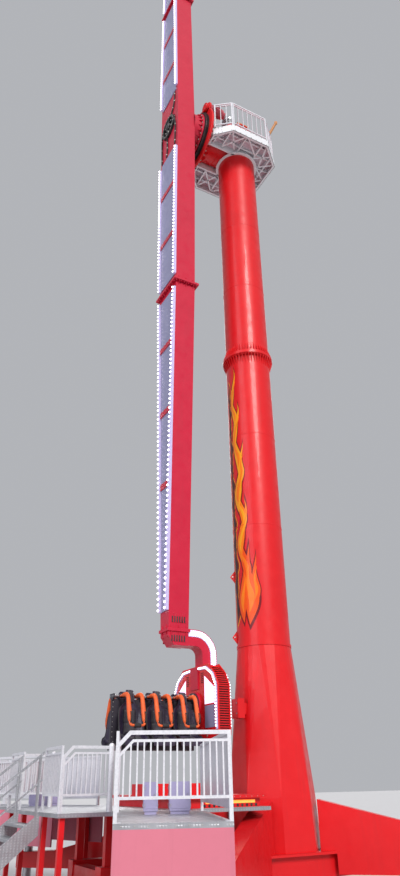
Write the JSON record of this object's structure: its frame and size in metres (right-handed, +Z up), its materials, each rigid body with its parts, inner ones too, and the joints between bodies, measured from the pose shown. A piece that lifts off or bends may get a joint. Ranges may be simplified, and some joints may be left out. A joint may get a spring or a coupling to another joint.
{
  "type": "rotating arm booster ride",
  "caption": "Tubular mast on outriggers bearing a long box arm that turns about a level axis, with a swinging gondola of harness seats at each end, above a railed boarding deck.",
  "frame": {"origin": "on the ground at the mast's axis, under the centre of the base plate", "axes": "+Z up along the mast; the arm turns about X and stands on the -X side, with the boarding stairs toward -X"},
  "size_m": [11.215, 10.881, 38.97],
  "materials": {
    "red_paint": "gloss paint",
    "pale_paint": "satin paint",
    "rail_white": "satin paint",
    "panel_lilac": "satin paint",
    "light_strip": "translucent white, lit",
    "steel": "brushed",
    "dark_steel": "satin paint",
    "motor_pink": "gloss paint",
    "davit_tan": "satin paint",
    "deck_plate": "chequer plate",
    "skirt_pink": "satin paint",
    "plinth_lilac": "gloss",
    "shield_shell": "gloss gel coat",
    "seat_shell": "gloss",
    "harness_orange": "matt foam skin"
  },
  "bodies": {
    "structure": {"base_frame": "red_paint", "outriggers": "red_paint", "foot_pads": "steel", "mast_foot": "red_paint", "mast_lower": "red_paint", "mast_upper": "red_paint", "mast_head": "red_paint", "slew_ring": "dark_steel", "drive_motors": "motor_pink", "head_deck": "pale_paint", "head_rail_near": "rail_white", "head_rail_far": "rail_white", "head_rail_end": "rail_white", "davit_pole": "davit_tan", "junction_box": "red_paint", "station_deck": "deck_plate", "station_legs": "red_paint", "station_skirt": "skirt_pink", "boarding_plinth": "red_paint", "cabinets": "plinth_lilac", "rail_front_near": "rail_white", "rail_front_far": "rail_white", "rail_sides_near": "rail_white", "rail_sides_far": "rail_white", "walkway_rails": "rail_white", "station_stairs": "deck_plate"},
    "arm": {"arm_shaft": "steel", "arm_centre": "red_paint", "arm_lower": "red_paint", "arm_upper": "red_paint", "face_panels": "panel_lilac", "face_battens": "red_paint", "light_rails_near": "light_strip", "light_rails_far": "light_strip", "hub_cover": "dark_steel", "neck_lower": "red_paint", "neck_upper": "red_paint", "shield_lower": "shield_shell", "shield_upper": "shield_shell"},
    "lower_gondola": {"gondola_lower": "dark_steel", "seats_lower_near": "seat_shell", "seats_lower_far": "seat_shell"},
    "upper_gondola": {"gondola_upper": "dark_steel", "seats_upper_near": "seat_shell", "seats_upper_far": "seat_shell"},
    "lower_harness_near": {"harness_lower_near": "harness_orange"},
    "lower_harness_far": {"harness_lower_far": "harness_orange"},
    "upper_harness_near": {"harness_upper_near": "harness_orange"},
    "upper_harness_far": {"harness_upper_far": "harness_orange"}
  },
  "joints": [
    {"name": "arm_spin", "type": "hinge", "parent": "structure", "child": "arm", "pos_m": [-1.6, 0, 20.8], "axis": [1, 0, 0], "continuous": true},
    {"name": "lower_gondola_swing", "type": "hinge", "parent": "arm", "child": "lower_gondola", "pos_m": [-1.8, 0, 3.3], "axis": [1, 0, 0], "continuous": true},
    {"name": "lower_harness_near", "type": "hinge", "parent": "lower_gondola", "child": "lower_harness_near", "pos_m": [-2.75, -0.055, 3.41], "axis": [-1, 0, 0], "range_deg": [0, 85]},
    {"name": "lower_harness_far", "type": "hinge", "parent": "lower_gondola", "child": "lower_harness_far", "pos_m": [-2.75, 0.055, 3.41], "axis": [1, 0, 0], "range_deg": [0, 85]},
    {"name": "upper_gondola_swing", "type": "hinge", "parent": "arm", "child": "upper_gondola", "pos_m": [-1.8, 0, 38.3], "axis": [1, 0, 0], "continuous": true},
    {"name": "upper_harness_near", "type": "hinge", "parent": "upper_gondola", "child": "upper_harness_near", "pos_m": [-2.75, -0.055, 38.41], "axis": [-1, 0, 0], "range_deg": [0, 85]},
    {"name": "upper_harness_far", "type": "hinge", "parent": "upper_gondola", "child": "upper_harness_far", "pos_m": [-2.75, 0.055, 38.41], "axis": [1, 0, 0], "range_deg": [0, 85]}
  ]
}
